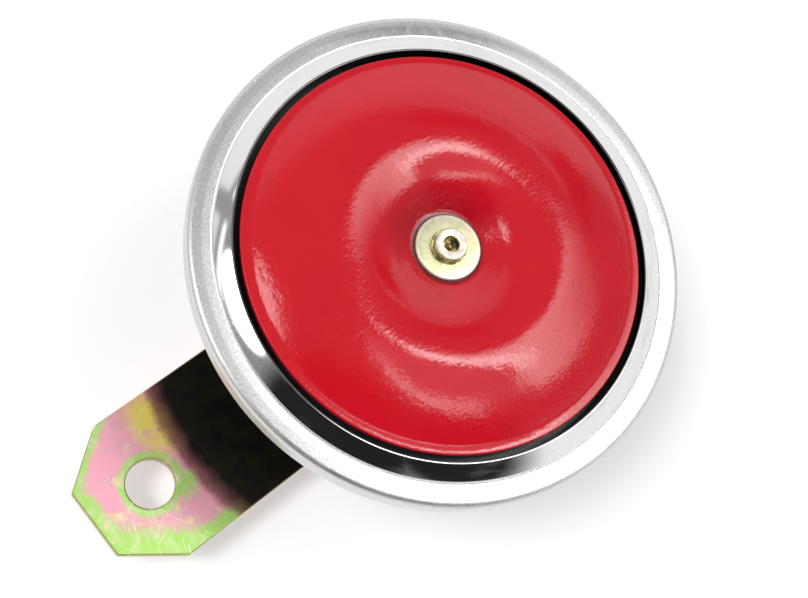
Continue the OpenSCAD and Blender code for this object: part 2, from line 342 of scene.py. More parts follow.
def red_enamel():
    """Glossy sprayed enamel: slight orange peel, pin specks, painted shade round the washer."""
    s = Shade("red_enamel", IOR=1.5)
    cloud = s.noise(0.09, 3)
    base = s.mix(cloud, (0.36, 0.004, 0.010), (0.43, 0.006, 0.014))
    speck = s.fade(s.noise(2.2, 1, stretch=(1, 1, 0.5)), 0.735, 0.76)
    nick = s.fade(s.noise(1.1, 2, 0.5, stretch=(2.8, 0.5, 1)), 0.70, 0.72)
    flaw = s.math("MAXIMUM", s.math("MULTIPLY", speck, 0.5), s.math("MULTIPLY", nick, 0.45))
    base = s.mix(flaw, base, (0.12, 0.004, 0.008))
    # A darker side by the washer, painted on: the lights alone don't give it.
    uphill = s.math("SUBTRACT", s.math("MULTIPLY", s.y, 0.46), s.math("MULTIPLY", s.x, 0.89))
    shade = s.math("MULTIPLY", s.fade(s.r, 14, 7), s.fade(uphill, -3, 8))
    base = s.mix(s.math("MULTIPLY", shade, 0.45), base, (0.10, 0.001, 0.004))
    # A dark ring round the washer is painted shade; the same mask also dulls the gloss there.
    washer_shade_ring = s.math("MULTIPLY", s.fade(s.r, 7.0, 6.3), s.blend(s.noise(0.3, 2), 0.7, 1.0))
    base = s.mix(washer_shade_ring, base, (0.03, 0.003, 0.004))
    rough = s.blend(s.noise(0.5, 4), 0.05, 0.11)
    rough = s.blend(washer_shade_ring, rough, 0.28)
    peel = s.noise(1.25, 3, 0.55, stretch=(1.5, 0.8, 1))
    wave = s.noise(0.35, 2)
    return s.set(base, rough, None, [(peel, 0.026), (wave, 0.03), (speck, -0.008)])


def ring_plate():
    """Bright plate: a mirror on the raised inner band, satin on the rolled outer part."""
    s = Shade("ring_plate", Metallic=1.0)
    outside = s.fade(s.r, 41.55, 41.95)
    grain = s.noise(2.6, 4, 0.7)
    mottle = s.noise(0.55, 4, 0.6)
    wipe = s.fade(s.noise(0.45, 4, 0.6, at=s.around(9, 1)), 0.50, 0.72)
    satin = s.blend(mottle, 0.30, 0.44)
    mirror = s.blend(wipe, 0.06, 0.17)
    rough = s.blend(outside, mirror, satin)
    bright = s.mix(s.math("MULTIPLY", wipe, 0.4), (0.82, 0.82, 0.815), (0.66, 0.65, 0.63))
    dull = s.mix(s.fade(grain, 0.32, 0.68), (0.67, 0.665, 0.65), (0.92, 0.92, 0.91))
    # Painted shade: the satin band is darker, in patches, on one side of the ring.
    far = s.vector("DOT_PRODUCT", s.centred, (-0.82, 0.57, 0))
    far_side_shade = s.math("MULTIPLY", s.fade(far, 38, 43), s.fade(mottle, 0.25, 0.55))
    far_side_shade = s.math("MULTIPLY", far_side_shade, s.fade(s.r, 44.6, 43.4))
    dull = s.mix(s.math("MULTIPLY", far_side_shade, 0.7), dull, (0.36, 0.355, 0.34))
    roll = s.fade(s.math("SUBTRACT", s.r, s.math("MULTIPLY", mottle, 0.5)), 44.75, 45.25)
    dull = s.mix(s.math("MULTIPLY", roll, 0.6), dull, (0.55, 0.55, 0.54))
    colour = s.mix(outside, bright, dull)
    # Painted shade: the lip's rounded top is darkened so that it mirrors less light.
    lip = s.fade(s.r, 38.62, 38.5)
    colour = s.mix(s.math("MULTIPLY", lip, 0.85), colour, (0.10, 0.10, 0.10))
    # Painted shade: the lip's inner wall, down in the gap beside the disc edge, is near black.
    inner = s.math("MULTIPLY", s.fade(s.r, 38.40, 38.28), s.fade(s.z, RIM_Z + 1.3, RIM_Z + 1.1))
    colour = s.mix(inner, colour, (0.02, 0.02, 0.02))
    lines = s.noise(0.9, 2, at=s.around(0.6, 9))
    texture = s.math("MULTIPLY", grain, s.blend(outside, 0.12, 1.0))
    return s.set(colour, rough, None, [(texture, 0.005), (lines, 0.0008)])


def zinc_pale():
    """Pale yellow-green passivated zinc of the front washer and the peened rod."""
    s = Shade("zinc_pale", Metallic=0.9)
    patch = s.noise(0.42, 3, 0.55)
    colour = s.ramp(
        patch,
        [(0.30, (0.55, 0.63, 0.31)), (0.45, (0.65, 0.66, 0.37)), (0.56, (0.72, 0.67, 0.46)),
         (0.68, (0.76, 0.62, 0.54))],
    )
    streak = s.fade(s.noise(0.9, 3, 0.6, at=s.around(7, 0.5)), 0.50, 0.62)
    colour = s.mix(s.math("MULTIPLY", streak, 0.35), colour, (0.42, 0.44, 0.28))
    rim = s.fade(s.r, 5.4, 5.8)
    colour = s.mix(s.math("MULTIPLY", rim, 0.6), colour, (0.90, 0.89, 0.82))
    top = high("centre_rod")
    boss = s.fade(s.r, 3.5, 3.3)
    face = s.mix(s.fade(s.noise(1.8, 3), 0.35, 0.65), (0.60, 0.53, 0.45), (0.82, 0.76, 0.68))
    colour = s.mix(boss, colour, face)
    side = s.math("MULTIPLY", boss, s.fade(s.z, top - 0.12, top - 0.25))
    green = s.fade(s.noise(0.8, 2), 0.42, 0.58)
    colour = s.mix(side, colour, s.mix(green, (0.34, 0.30, 0.12), (0.72, 0.74, 0.36)))
    pit = s.math("MULTIPLY", s.fade(s.r, 1.6, 1.4), s.fade(s.z, top - 0.15, top - 0.6))
    amber = s.mix(s.fade(s.noise(0.9, 2), 0.4, 0.6), (0.10, 0.09, 0.04), (0.78, 0.62, 0.30))
    colour = s.mix(pit, colour, amber)
    rough = s.blend(s.noise(0.9, 4), 0.32, 0.44)
    rough = s.blend(s.math("MAXIMUM", side, pit), rough, 0.16)
    return s.set(colour, rough, None, [(s.noise(2.4, 3), 0.003), (s.noise(0.8, 2), 0.006)])


def turned(s, angle):
    """The piece's coordinates turned about Z, by degrees."""
    made = s.node("ShaderNodeVectorRotate", rotation_type="Z_AXIS")
    s.feed(made.inputs["Vector"], s.p)
    made.inputs["Angle"].default_value = math.radians(angle)
    return made.outputs["Vector"]


def scratches(s, where):
    """Fine straight scratches in three directions, where a mask allows them."""
    total = None
    for turn in (20, 65, 150):
        line = s.noise(1.0, 1, 0.4, at=s.vector("MULTIPLY", turned(s, turn), (0.10, 3.0, 0.3)))
        thin = s.math("MULTIPLY", s.fade(line, 0.688, 0.700), s.fade(line, 0.722, 0.708))
        total = thin if total is None else s.math("MAXIMUM", total, thin)
    return s.math("MULTIPLY", total, where)


def near(s, x, y, a, b, soft=0.6):
    """1 in an oval round a point of the strip, fading over its outer part; a, b in mm."""
    local = s.vector("SUBTRACT", s.p, (x, y, 0))
    local = s.vector("MULTIPLY", local, (1 / a, 1 / b, 0))
    return s.fade(s.vector("LENGTH", local), 1 + soft, 1 - soft)


def strip_film(s, green, pink, gold, dark):
    """Green along the cut edges and round the hole, pink between, and near the horn a painted
    reflection of the black case.
    """
    raw = s.node("ShaderNodeSeparateXYZ", (s.p,))
    x, y, _ = raw.outputs
    right = s.math("SUBTRACT", STRIP_W / 2, x)
    left = s.math("ADD", STRIP_W / 2, x)
    tip = s.math("ADD", y, TIP_LEN)
    slant = STRIP_W / 2 - TIP_W / 2
    lean = CHAMFER / math.hypot(slant, CHAMFER)

    def chamfer(side):
        along = s.math("ADD", side, s.math("MULTIPLY", tip, slant / CHAMFER))
        return s.math("MULTIPLY", s.math("SUBTRACT", along, slant), lean)

    hole = s.math("SUBTRACT", s.vector("LENGTH", s.vector("MULTIPLY", s.p, (1, 1, 0))), HOLE_R)
    rim = s.fade(chamfer(left), 3.2, 0.3)
    for distance, width in ((right, 5.5), (chamfer(right), 9.5), (tip, 5.5), (hole, 3.0)):
        rim = s.math("MAXIMUM", rim, s.fade(distance, width, width * 0.1))
    rim = s.math("MAXIMUM", rim, s.math("MULTIPLY", near(s, 4, 5, 3.5, 3.5), 0.75))
    cloud = s.noise(0.26, 4, 0.6)
    speckle = s.noise(1.4, 3, 0.6)
    spread = s.math("ADD", s.math("MULTIPLY", rim, 0.60), s.math("MULTIPLY", cloud, 0.70))
    spread = s.math("ADD", spread, s.math("MULTIPLY", speckle, 0.26))
    mauve = s.mix(s.fade(s.noise(0.3, 3, 0.5), 0.38, 0.74), pink, (0.86, 0.44, 0.53))
    lush = s.mix(s.fade(s.noise(0.35, 3), 0.40, 0.70), green, (0.58, 0.78, 0.33))
    colour = s.mix(s.fade(spread, 0.64, 1.02), mauve, lush)
    straw = s.mix(speckle, (0.92, 0.66, 0.50), (0.86, 0.70, 0.30))
    colour = s.mix(s.fade(s.noise(0.33, 3, 0.5), 0.58, 0.74), colour, straw)
    warm = s.math("MULTIPLY", near(s, -9.2, 7.2, 6.0, 4.0, 0.5), s.fade(cloud, 0.25, 0.5))
    colour = s.mix(warm, colour, gold)
    front = s.fade(s.z, STRIP_T - 0.6, STRIP_T - 0.3)
    # Painted reflection: near the horn the top face takes on the black case's mirrored darkness,
    # edged with a wine fringe.
    ahead = s.math("SUBTRACT", s.r, 50.5)
    ragged = s.math("ADD", ahead, s.math("MULTIPLY", s.math("SUBTRACT", cloud, 0.5), 2.5))
    fringe = s.math("MULTIPLY", s.fade(ragged, 2.2, 0.2), front)
    colour = s.mix(s.math("MULTIPLY", fringe, 0.75), colour, (0.34, 0.10, 0.10))
    # The painted reflection itself: near black, slightly clouded.
    case_reflection = s.mix(s.fade(cloud, 0.35, 0.7), dark, (0.018, 0.019, 0.009))
    colour = s.mix(s.math("MULTIPLY", s.fade(ragged, 2.4, -2.8), front), colour, case_reflection)
    outline = s.math("MINIMUM", s.math("MINIMUM", left, chamfer(left)), tip)
    outline = s.math("MINIMUM", s.math("MINIMUM", right, chamfer(right)), outline)
    burr = s.math("MAXIMUM", s.fade(outline, 0.32, 0.12), s.fade(hole, 0.36, 0.1))
    return s.mix(s.math("MULTIPLY", burr, 0.75), colour, (0.26, 0.18, 0.08))


def zinc_yellow(strip=False):
    """Yellow chromate on zinc: green, yellow and pink interference colours, scratched."""
    s = Shade("zinc_yellow_strip" if strip else "zinc_yellow", Metallic=0.8)
    green, pink = (0.46, 0.76, 0.18), (0.98, 0.45, 0.55)
    gold = (1.0, 0.80, 0.17)
    if strip:
        colour = strip_film(s, green, pink, gold, (0.012, 0.010, 0.009))
        bare = s.math("MULTIPLY", s.fade(s.r, 51, 55), s.fade(s.noise(0.15, 2), 0.42, 0.55))
        rough = s.blend(s.noise(0.8, 4), 0.34, 0.42)
    else:
        olive, straw, peach = (0.58, 0.63, 0.33), (0.74, 0.66, 0.33), (0.80, 0.60, 0.44)
        cloud = s.noise(0.22, 4, 0.6)
        colour = s.ramp(cloud, [(0.36, olive), (0.47, straw), (0.56, peach), (0.66, straw)])
        bare = s.fade(s.noise(0.2, 2), 0.42, 0.58)
        rough = s.blend(s.noise(0.8, 4), 0.2, 0.3)
    mark = scratches(s, bare)
    colour = s.mix(mark, colour, (0.97, 0.96, 0.90))
    rough = s.blend(mark, rough, 0.45)
    return s.set(colour, rough, None, [(s.noise(2.5, 3), 0.002), (mark, -0.0015)])


def cut_edge():
    """Sheared edge of the strip: duller yellow zinc with fine shear marks."""
    s = Shade("cut_edge", Metallic=0.9)
    shear = s.noise(2.6, 2, 0.5, at=s.vector("MULTIPLY", s.p, (1, 1, 0.12)))
    tone = s.noise(0.35, 3)
    colour = s.mix(tone, (0.52, 0.45, 0.26), (0.66, 0.54, 0.36))
    colour = s.mix(s.math("MULTIPLY", shear, 0.3), colour, (0.40, 0.34, 0.22))
    return s.set(colour, s.blend(tone, 0.32, 0.45), None, [(shear, 0.012)])


def black_paint():
    """Black enamel of the case: uneven gloss and a little dust."""
    s = Shade("black_paint", IOR=1.5, Specular_IOR_Level=0.25)
    colour = s.mix(s.noise(0.3, 4), (0.004, 0.004, 0.005), (0.009, 0.009, 0.010))
    dust = s.fade(s.noise(1.8, 2), 0.66, 0.74)
    colour = s.mix(s.math("MULTIPLY", dust, 0.25), colour, (0.10, 0.10, 0.10))
    rough = s.blend(s.noise(0.6, 3), 0.22, 0.38)
    return s.set(colour, rough, None, [(s.noise(1.3, 3), 0.008)])


def plain(name, dark, light, rough, metal, grain=1.5, depth=0.004, scale=0.35):
    """Two close colours in clouds, uneven gloss and a fine grain."""
    s = Shade(name, Metallic=metal)
    colour = s.mix(s.noise(scale, 4, 0.6), dark, light)
    gloss = s.blend(s.noise(scale * 3, 3), rough[0], rough[1])
    return s.set(colour, gloss, None, [(s.noise(grain, 4), depth)])


RED = red_enamel()
PLATE = ring_plate()
PALE = zinc_pale()
YELLOW = zinc_yellow()
STRIP = zinc_yellow(strip=True)
CUT = cut_edge()
BLACK = black_paint()
STEEL = plain("steel_bright", (0.50, 0.50, 0.51), (0.72, 0.72, 0.73), (0.18, 0.34), 1.0)
IRON = plain("iron_soft", (0.23, 0.23, 0.24), (0.36, 0.36, 0.37), (0.35, 0.5), 1.0)
GASKET = plain("gasket_fibre", (0.035, 0.033, 0.03), (0.06, 0.057, 0.05), (0.8, 0.95), 0.0)
DARK = plain("diaphragm_lacquer", (0.005, 0.005, 0.006), (0.01, 0.01, 0.011), (0.3, 0.5), 0.0)
PLASTIC = plain("terminal_plastic", (0.012, 0.012, 0.013), (0.02, 0.02, 0.02), (0.4, 0.55), 0.0)
BOBBIN = plain("bobbin_plastic", (0.62, 0.57, 0.44), (0.72, 0.68, 0.55), (0.4, 0.55), 0.0)
COPPER = plain("copper_enamelled", (0.45, 0.14, 0.05), (0.62, 0.22, 0.09), (0.2, 0.35), 1.0)
SLEEVE = plain("lead_sleeve", (0.45, 0.07, 0.02), (0.55, 0.11, 0.03), (0.4, 0.6), 0.0)
FIBRE = plain("phenolic_fibre", (0.16, 0.07, 0.03), (0.26, 0.13, 0.06), (0.5, 0.7), 0.0)
BRASS = plain("spring_brass", (0.62, 0.42, 0.14), (0.76, 0.55, 0.24), (0.2, 0.36), 1.0)
CONTACT = plain("contact_tungsten", (0.45, 0.45, 0.46), (0.6, 0.6, 0.6), (0.25, 0.4), 1.0)
TERMINAL = plain("terminal_brass", (0.66, 0.50, 0.22), (0.80, 0.66, 0.36), (0.2, 0.35), 1.0)
CERAMIC = plain("resistor_body", (0.50, 0.42, 0.30), (0.60, 0.52, 0.39), (0.6, 0.8), 0.0)

# ---------------------------------------------------------------- front pieces

DISC_R = radius("tone_disc")
SEAT_R = 6.8
SEAT_Z = low("front_washer")
CREST_R = 20.8
CREST_Z = high("tone_disc")
FOOT_R = 35.6
DISC_T = 1.2
EDGE_Z = RIM_Z + LIP_RISE
INNER_TURN = 10.6
RUN_GAP = 0.05
SPACER_CLEAR_R = 7.0
CLAMP_CLEAR_R = 39.5


def disc_height(r):
    """Front face of the tone disc: a seat, a ring-shaped crest and a flat narrow edge."""
    if r >= FOOT_R:
        return EDGE_Z - 0.09 * (r - FOOT_R)
    if r >= CREST_R:
        return CREST_Z - (CREST_Z - EDGE_Z) * ((r - CREST_R) / (FOOT_R - CREST_R)) ** 1.6
    reach = CREST_R - INNER_TURN
    slope = (CREST_Z - SEAT_Z) / (reach / 2 + (INNER_TURN - SEAT_R) * 0.87)
    if r >= INNER_TURN:
        return CREST_Z - slope * (CREST_R - r) ** 2 / (2 * reach)
    turn_z = CREST_Z - slope * reach / 2
    t = (r - SEAT_R) / (INNER_TURN - SEAT_R)
    return SEAT_Z + (turn_z - SEAT_Z) * max(t, 0)


def smooth_height(r, spread):
    """The same face with its corners eased over a short distance."""
    steps = 8
    total = sum(disc_height(r + spread * (2 * k / steps - 1)) for k in range(steps + 1))
    return total / (steps + 1)


def tone_disc():
    """The dished disc, slightly uneven from the press, with a rounded edge."""
    bore = radius("centre_rod")
    radii = [SEAT_R + (DISC_R - 0.6 - SEAT_R) * i / 110 for i in range(111)]
    front = [(bore, SEAT_Z), (6.0, SEAT_Z), (6.3, SEAT_Z)]
    front += [(r, smooth_height(r, 0.35)) for r in radii]
    edge_z = disc_height(DISC_R - 0.6)
    edge = rounded([
        (DISC_R - 0.6, edge_z), (DISC_R, edge_z, 0.5), (DISC_R, edge_z - DISC_T, 0.25),
        (DISC_R - 0.6, edge_z - DISC_T),
    ], closed=False)
    rear = [(r, smooth_height(r, 0.35) - DISC_T) for r in reversed(radii[::2])]
    rear.append((bore, SEAT_Z - DISC_T))

    def pressed(a, r, z):
        if r < 7.5:
            return 0, 0
        where = Vector((r * math.cos(a), r * math.sin(a), 0)) * 0.11
        return 0, 0.03 * noise.noise(where) * min(1, (r - 7.5) / 4)

    return lathe("tone_disc_fine", front + edge[1:] + rear, 384, wobble=pressed)


def rim_ring():
    """The rolled ring: raised mirror band, small step, satin band, wall and rear hem."""
    z = RIM_Z
    hem = low("rim_ring")
    lip = 38.25
    profile = rounded([
        (lip, z - 0.1, 0.08), (lip, z + 1.5, 0.2), (38.6, z + 1.5, 0.2),
        (41.5, z + 0.33, 0.12), (41.66, z + 0.14, 0.08), (41.95, z + 0.20, 0.3),
        (43.5, z + 0.17, 1.5), (45.0, z + 0.02, 1.2), (45.75, z - 0.22, 0.6),
        (RIM_R, z - 0.95, 0.6), (RIM_R, hem + 0.7, 0.3),
        (RIM_R - 0.2, hem + 0.2, 0.3), (RIM_R - 0.8, hem, 0.4),
        (42.9, hem + 0.02, 0.2), (42.8, hem + 0.8, 0.05),
        (RIM_R - 0.9, hem + 0.8), (RIM_R - 0.9, z - 1.5),
        (41, z - 1.5), (41, z - 0.35), (39.6, z + 0.3), (lip + 0.8, z + 0.4),
        (lip + 0.8, z - 0.1, 0.08),
    ])

    def rolled(a, r, z_here):
        wave = noise.noise(Vector((math.cos(a), math.sin(a), r * 0.05)) * 2.5)
        behind = min(1, max(0, (hem + 1.0 - z_here) / 0.8))
        crimp = 0.05 * behind * math.sin(a * 60 + 3 * wave)
        return 0.03 * wave * (r > 43), 0.025 * wave + crimp * (r < 45)

    return lathe("rim_ring_fine", profile, 384, wobble=rolled)


def front_washer():
    """The washer under the peened rod, its outer edge rounded by the punch."""
    lo, hi = low("front_washer"), high("front_washer")
    r = radius("front_washer")
    bore = radius("centre_rod")
    profile = rounded([
        (bore, lo), (bore, hi), (bore + 0.4, hi, 0.1), (r, hi - 0.05, 0.32), (r, lo, 0.1),
    ])

    def stamped(a, rr, z):
        return 0.03 * noise.noise(Vector((math.cos(a), math.sin(a), 3)) * 1.5), 0

    return lathe("front_washer_fine", profile, 128, wobble=stamped)


def centre_rod():
    """Rod through disc and diaphragm; its hollow end is spread over the washer."""
    lo, top, seat = low("centre_rod"), high("centre_rod"), high("front_washer")
    r = radius("centre_rod")
    profile = rounded([
        (0.001, lo), (r - 0.25, lo), (r, lo + 0.25), (r, seat), (r + 0.35, seat + 0.02, 0.05),
        (r + 0.32, seat + 0.32, 0.12), (r - 0.02, seat + 0.5, 0.1), (r, top - 0.16, 0.12),
        (r - 0.14, top, 0.08),
        (1.48, top - 0.02, 0.05), (1.40, top - 1.5, 0.2), (0.9, top - 1.8, 0.2),
        (0.45, top - 1.3, 0.2), (0.001, top - 1.15),
    ], closed=False)

    def peened(a, rr, z):
        if z < top - 1.6:
            return 0, 0
        where = Vector((math.cos(a) * rr, math.sin(a) * rr, z)) * 0.9
        return 0.05 * noise.noise(where) * (rr > 0.3), 0.015 * noise.noise(where * 1.4)

    return lathe("centre_rod_fine", profile, 128, wobble=peened, closed=False)


def diaphragm():
    """Thin sheet held at its edge, with a hole for the rod."""
    lo, hi = low("diaphragm"), high("diaphragm")
    hole, edge = radius("centre_rod") + RUN_GAP, radius("diaphragm")
    inner, outer, steps = SPACER_CLEAR_R, CLAMP_CLEAR_R, 60
    radii = [hole] + [inner + (outer - inner) * i / steps for i in range(steps + 1)] + [edge]
    profile = [(r, hi) for r in radii] + [(r, lo) for r in reversed(radii)]
    obj = lathe("diaphragm_fine", profile, 128)
    shape = [v.co.copy() for v in obj.data.vertices]
    # Each point is moved onto the X axis at its own radius, the transform is applied, then the
    # point is put back.
    for vertex, here in zip(obj.data.vertices, shape):
        arm = Vector((here.x - AXIS_X, here.y - AXIS_Y))
        vertex.co = (arm.length, 0, 0)
    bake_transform(obj)
    for vertex, here in zip(obj.data.vertices, shape):
        vertex.co = here
    obj.data.materials.append(DARK)
    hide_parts("diaphragm")


diaphragm()
place(tone_disc(), "vibrator", "disc_red", RED, "tone_disc")
place(rim_ring(), "horn_case", "ring_plate", PLATE, "rim_ring")
place(front_washer(), "vibrator", "washer_zinc", PALE, "front_washer")
place(centre_rod(), "vibrator", "washer_zinc", PALE, "centre_rod")

# ---------------------------------------------------------------- bracket


def inset(loop, amount):
    """A loop of (x, y) moved inwards, each corner along its own bisector."""
    out = []
    for i, here in enumerate(loop):
        a, b, c = Vector(loop[i - 1]), Vector(here), Vector(loop[(i + 1) % len(loop)])
        n1 = (b - a).normalized().orthogonal()
        n2 = (c - b).normalized().orthogonal()
        n = (n1 + n2).normalized()
        out.append(tuple(b + n * (amount / max(0.3, n.dot(n1)))))
    return out


def circle(x, y, r, count):
    """A loop that runs clockwise, for a hole."""
    return [
        (x + r * math.cos(-2 * math.pi * i / count), y + r * math.sin(-2 * math.pi * i / count))
        for i in range(count)
    ]


def strip_outline():
    """The strip from above: a cut-off tip and a round end about the horn's stud."""
    w, t, y0 = STRIP_W / 2, TIP_W / 2, -TIP_LEN
    corners = [
        (-t, y0, 0.5), (t, y0, 0.5), (w, y0 + CHAMFER, 0.5), (w, HORN_Y),
    ]
    turn = [
        (w * math.cos(math.pi * i / 40), HORN_Y + w * math.sin(math.pi * i / 40))
        for i in range(1, 40)
    ]
    return rounded(corners + turn + [(-w, HORN_Y), (-w, y0 + CHAMFER, 0.5)])


def bracket():
    """The strip: sheared outline and punched holes, their edges rolled over in front."""
    t = STRIP_T
    section = [(0.18, 0), (0.05, 0.05), (0, 0.18), (0, t - 0.36), (0.04, t - 0.2),
               (0.14, t - 0.07), (0.34, t), (0.40, t)]
    loops = [strip_outline(), circle(0, 0, HOLE_R, 96), circle(0, HORN_Y, STUD_R + 0.1, 64)]
    work = bmesh.new()
    caps = {0: [], len(section) - 1: []}
    for loop in loops:
        rings = []
        for step, z in section:
            rings.append([work.verts.new((x * MM, y * MM, z * MM)) for x, y in inset(loop, step)])
        for low_ring, high_ring in zip(rings, rings[1:]):
            for i in range(len(loop)):
                n = (i + 1) % len(loop)
                work.faces.new((low_ring[i], low_ring[n], high_ring[n], high_ring[i]))
        for level in caps:
            ring = rings[level]
            caps[level] += [work.edges.get((ring[i - 1], ring[i])) for i in range(len(ring))]
    for edges in caps.values():
        bmesh.ops.triangle_fill(work, use_beauty=True, use_dissolve=False, edges=edges)
    bmesh.ops.recalc_face_normals(work, faces=work.faces)
    mesh = bpy.data.meshes.new("bracket_fine")
    work.normal_update()
    work.to_mesh(mesh)
    work.free()
    obj = bpy.data.objects.new("bracket_fine", mesh)
    bpy.context.scene.collection.objects.link(obj)
    return finish_mesh(obj, 40)


strip = place(bracket(), "bracket", "zinc_yellow", STRIP, "bracket")
strip.data.materials.append(CUT)
for edge_face in strip.data.polygons:
    edge_face.material_index = 1 if abs(edge_face.normal.z) < 0.5 else 0

# ---------------------------------------------------------------- housing and rear pieces

POT_R = 21.2
BOWL_Z = 25.0
SHEET = 1.2
SCREW_X = 25.2
RIVET_X = 31.6
RIVET_Y = 2.6
TERM_X = 5.6
TERM_Y = 28.5


def block(x, y, z, size_x, size_y, size_z):
    """A plain box used only to cut with; x, y from the horn axis."""
    work = bmesh.new()
    bmesh.ops.create_cube(work, size=MM)
    bmesh.ops.scale(work, vec=(size_x, size_y, size_z), verts=work.verts)
    bmesh.ops.translate(work, vec=Vector((x, y + HORN_Y, z)) * MM, verts=work.verts)
    mesh = bpy.data.meshes.new("cutter")
    work.to_mesh(mesh)
    work.free()
    obj = bpy.data.objects.new("cutter", mesh)
    bpy.context.scene.collection.objects.link(obj)
    return obj


def bore(x, y, z, r, height):
    """A round cutter through height z."""
    h = height / 2
    profile = [(0.001, z - h), (r, z - h), (r, z + h), (0.001, z + h)]
    return lathe("cutter", profile, 48, at=(x, y), closed=False)


def carve(obj, cutters, sharp=35):
    """Takes the cutters out of a piece and removes them."""
    for cutter in cutters:
        made = obj.modifiers.new("cut", "BOOLEAN")
        made.operation = "DIFFERENCE"
        made.solver = "EXACT"
        made.object = cutter
    bpy.context.view_layer.update()
    graph = bpy.context.evaluated_depsgraph_get()
    mesh = bpy.data.meshes.new_from_object(obj.evaluated_get(graph))
    obj.modifiers.clear()
    mesh.name = obj.name
    obj.data = mesh
    for cutter in cutters:
        bpy.data.objects.remove(cutter)
    return finish_mesh(obj, sharp)


def joined(name, *objs):
    """One piece made of several closed shells."""
    work = bmesh.new()
    for obj in objs:
        work.from_mesh(obj.data)
        bpy.data.objects.remove(obj)
    mesh = bpy.data.meshes.new(name)
    work.to_mesh(mesh)
    work.free()
    made = bpy.data.objects.new(name, mesh)
    bpy.context.scene.collection.objects.link(made)
    return finish_mesh(made)


def thread(a, z, pitch, depth):
    """How far a thread's flank lies under its crest, at an angle and a height."""
    t = (z / pitch - a / (2 * math.pi)) % 1
    return -depth * min(1, max(0, (abs(2 * t - 1) - 0.2) / 0.6))


def housing():
    """Pressed case: pot round the coil, bowl behind the diaphragm, clamped flange."""
    rear, front, flange = low("housing"), high("housing"), radius("housing")
    profile = rounded([
        (STUD_R + 0.1, rear), (POT_R, rear, 3.0), (POT_R, BOWL_Z, 1.0), (35.4, BOWL_Z, 1.8),
        (41.0, front - SHEET, 0.9), (flange, front - SHEET, 0.1), (flange, front, 0.1),
        (39.8, front, 1.4), (34.8, BOWL_Z + SHEET, 1.0), (20.0, BOWL_Z + SHEET, 0.8),
        (20.0, rear + SHEET, 1.8), (STUD_R + 0.1, rear + SHEET),
    ])

    def pressed(a, r, z):
        where = Vector((math.cos(a), math.sin(a), z * 0.08)) * 1.6
        return 0.05 * noise.noise(where) * (5 < r < 44 and z > rear + 2), 0

    made = lathe("housing_fine", profile, 256, wobble=pressed)
    cutters = [bore(SCREW_X, 0, BOWL_Z, 2.7, 6), block(0, TERM_Y, BOWL_Z, 16, 6.4, 6)]
    cutters += [bore(RIVET_X, side * RIVET_Y, BOWL_Z, 1.0, 6) for side in (-1, 1)]
    return carve(made, cutters)


def pole_core():
    """Core inside the coil and the M8 stud behind it, its thread cut as a true helix."""
    end, top, r = low("pole_core"), high("pole_core"), radius("pole_core")
    root = low("housing") + SHEET
    profile = [(0.001, end), (3.25, end), (3.35, end + 0.03)]
    steps = int((root - 0.4 - end) / 0.11)
    profile += [(STUD_R, end + 0.1 + 0.11 * i) for i in range(steps)]
    profile += [(STUD_R, root), (r, root), (r, top - 0.4), (r - 0.4, top), (0.001, top)]

    def cut(a, rr, z):
        if rr < STUD_R - 0.1 or rr > STUD_R + 0.1 or z > root - 0.3:
            return 0, 0
        lead = min(0, (z - end - 0.1) - 0.65)
        return min(thread(a, z, 1.25, 0.62), lead), 0

    return lathe("pole_core_fine", profile, 96, wobble=cut, closed=False)


def bracket_nut():
    """Hex nut: both ends turned to a cone, so that each flat ends in a curved edge."""
    lo, hi, corner = low("bracket_nut"), high("bracket_nut"), radius("bracket_nut")
    flat = corner * math.cos(math.radians(30))
    turned_r = flat * 0.955
    bore_r = STUD_R + 0.06
    verts, faces = [], []
    segments = 180
    for i in range(segments):
        a = 2 * math.pi * i / segments
        r = flat / math.cos(math.radians((math.degrees(a) % 60) - 30))
        r = min(r, corner * 0.988)
        drop = (r - turned_r) * math.tan(math.radians(30))
        ring = [(bore_r, lo + 0.6), (bore_r + 0.6, lo), (turned_r - 0.1, lo),
                (turned_r, lo + 0.02), (r - 0.06, lo + drop - 0.02), (r, lo + drop + 0.05)]
        ring += [(rr, lo + hi - z) for rr, z in reversed(ring)]
        verts += [(rr * math.cos(a), HORN_Y + rr * math.sin(a), z) for rr, z in ring]
    rows = len(verts) // segments
    for i in range(segments):
        n = (i + 1) % segments
        for j in range(rows):
            k = (j + 1) % rows
            faces.append((i * rows + j, n * rows + j, n * rows + k, i * rows + k))
    return new_object("bracket_nut_fine", verts, faces, 20)


def flat_washer():
    """The washer between strip and nut, rounded on its punched side."""
    lo, hi, r = low("flat_washer"), high("flat_washer"), radius("flat_washer")
    profile = rounded([
        (STUD_R + 0.2, lo, 0.08), (r, lo, 0.12), (r, hi, 0.45), (STUD_R + 0.2, hi, 0.2),
    ])
    return lathe("flat_washer_fine", profile, 128)


def lock_washer():
    """Split spring washer: square wire, closed up by the nut, its cut slanted."""
    lo, hi, r = low("lock_washer"), high("lock_washer"), radius("lock_washer")
    mid = (lo + hi) / 2
    section = rounded([
        (STUD_R + 0.2, lo + 0.1, 0.15), (r - 0.1, lo, 0.3),
        (r, hi, 0.3), (STUD_R + 0.25, hi - 0.1, 0.15),
    ])
    verts, faces = [], []
    steps, gap, count = 120, 0.07, len(section)
    for i in range(steps + 1):
        a = gap + (2 * math.pi - 2 * gap) * i / steps
        for rr, z in section:
            at = a + 0.09 * (z - mid)
            verts.append((rr * math.cos(at), HORN_Y + rr * math.sin(at), z))
    for i in range(steps):
        for j in range(count):
            k = (j + 1) % count
            base, ahead = i * count, (i + 1) * count
            faces.append((base + j, ahead + j, ahead + k, base + k))
    faces.append(tuple(range(count)))
    faces.append(tuple(steps * count + j for j in range(count)))
    return new_object("lock_washer_fine", verts, faces)


